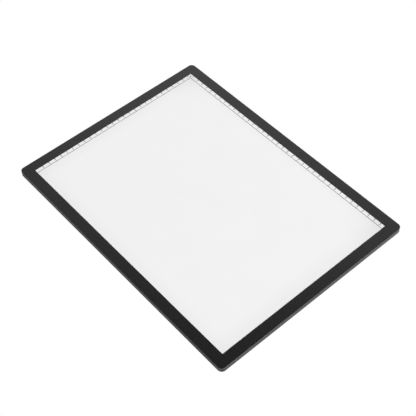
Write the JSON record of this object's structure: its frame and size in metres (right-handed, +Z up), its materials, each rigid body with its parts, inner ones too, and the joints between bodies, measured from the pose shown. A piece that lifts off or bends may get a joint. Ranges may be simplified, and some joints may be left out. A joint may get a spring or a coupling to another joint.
{
  "type": "light box",
  "caption": "Flat LED light box for tracing: black frame around a flush white panel with centimetre scales, edge-lit, with a side push button and power inlet.",
  "frame": {"origin": "middle of the underside, at the level of the feet", "axes": "+X along the long side, +Y along the short side towards the side with the button and inlet, +Z up out of the panel"},
  "size_m": [0.415, 0.31, 0.009],
  "materials": {
    "black_plastic": "fine moulded grain, matt",
    "panel_acrylic": "milky translucent acrylic, satin",
    "foam": "closed-cell foam",
    "diffuser_film": "matt white film",
    "clear_acrylic": "clear polished acrylic with a dot pattern",
    "reflector_film": "white reflective film",
    "white_board": "white solder mask",
    "led_phosphor": "yellow phosphor in a white package",
    "aluminium": "plain extruded",
    "green_board": "green solder mask",
    "amber_film": "amber insulating film",
    "chip_resin": "moulded epoxy",
    "ferrite": "ferrite core, matt",
    "can_aluminium": "sleeved can",
    "ivory_nylon": "natural nylon",
    "jack_plastic": "moulded, smooth",
    "plated_steel": "nickel plated",
    "contact_brass": "sprung brass strip",
    "button_plastic": "moulded, smooth",
    "wire_red": "PVC insulation",
    "black_steel": "black oxide",
    "foot_rubber": "moulded rubber",
    "scale_ink": "screen-printed black ink",
    "icon_ink": "pad-printed pale grey ink",
    "copper": "enamelled winding wire"
  },
  "bodies": {
    "root": {"front_frame": "black_plastic", "back_cover": "black_plastic", "work_panel": "panel_acrylic", "window_gasket": "foam", "diffuser_sheet": "diffuser_film", "light_guide_plate": "clear_acrylic", "reflector_sheet": "reflector_film", "led_strip_left": "white_board", "led_strip_right": "white_board", "leds_left": "led_phosphor", "leds_right": "led_phosphor", "led_channel_left": "aluminium", "led_channel_right": "aluminium", "guide_cushions": "foam", "control_board": "green_board", "insulation_film": "amber_film", "driver_chip": "chip_resin", "inductor": "ferrite", "capacitors": "can_aluminium", "resistors": "chip_resin", "wire_connectors": "ivory_nylon", "dc_jack_housing": "jack_plastic", "dc_jack_pin": "plated_steel", "dc_jack_spring": "contact_brass", "switch_body": "jack_plastic", "switch_dome": "plated_steel", "wires_left": "wire_red", "wires_right": "wire_red", "board_screws": "plated_steel", "case_screws": "black_steel", "foot_front_left": "foot_rubber", "foot_front_middle": "foot_rubber", "foot_front_right": "foot_rubber", "foot_back_left": "foot_rubber", "foot_back_middle": "foot_rubber", "foot_back_right": "foot_rubber"},
    "button": {"power_button": "button_plastic", "switch_plunger": "ivory_nylon"}
  },
  "joints": [
    {"name": "power_button_press", "type": "slide", "parent": "root", "child": "button", "axis": [0, -1, 0], "range_m": [0, 0.0007], "stiffness_N_per_m": 1500}
  ]
}
